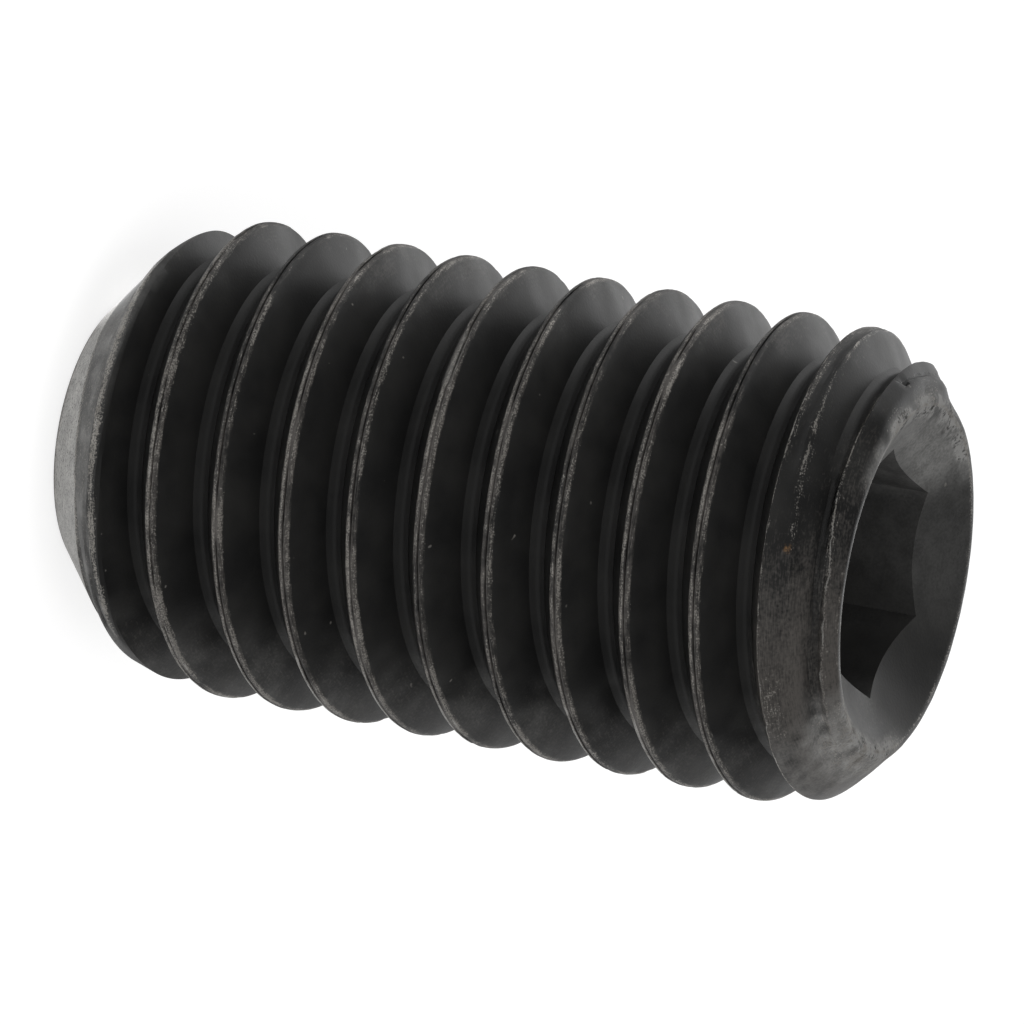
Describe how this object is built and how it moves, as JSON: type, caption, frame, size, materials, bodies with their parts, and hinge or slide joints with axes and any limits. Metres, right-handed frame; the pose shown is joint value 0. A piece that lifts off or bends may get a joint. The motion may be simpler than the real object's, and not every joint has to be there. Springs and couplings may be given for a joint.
{
  "type": "socket set screw",
  "caption": "Headless socket set screw of black-oxide steel: right-hand metric thread over its whole length, hexagon socket with a wide countersink at one end, cup point at the other.",
  "frame": {"origin": "centre of the cup rim's plane, on the screw's axis, where it stands on a surface", "axes": "+Z along the axis from the cup point to the socket end; the camera's view of the picture looks roughly along +Y"},
  "size_m": [0.01, 0.01, 0.0179],
  "materials": {
    "black_oxide_steel": "satin black oxide, rubbed to grey-brown on the crests and to bare grey on both rims"
  },
  "bodies": {
    "root": {"set_screw": "black_oxide_steel"}
  },
  "joints": []
}
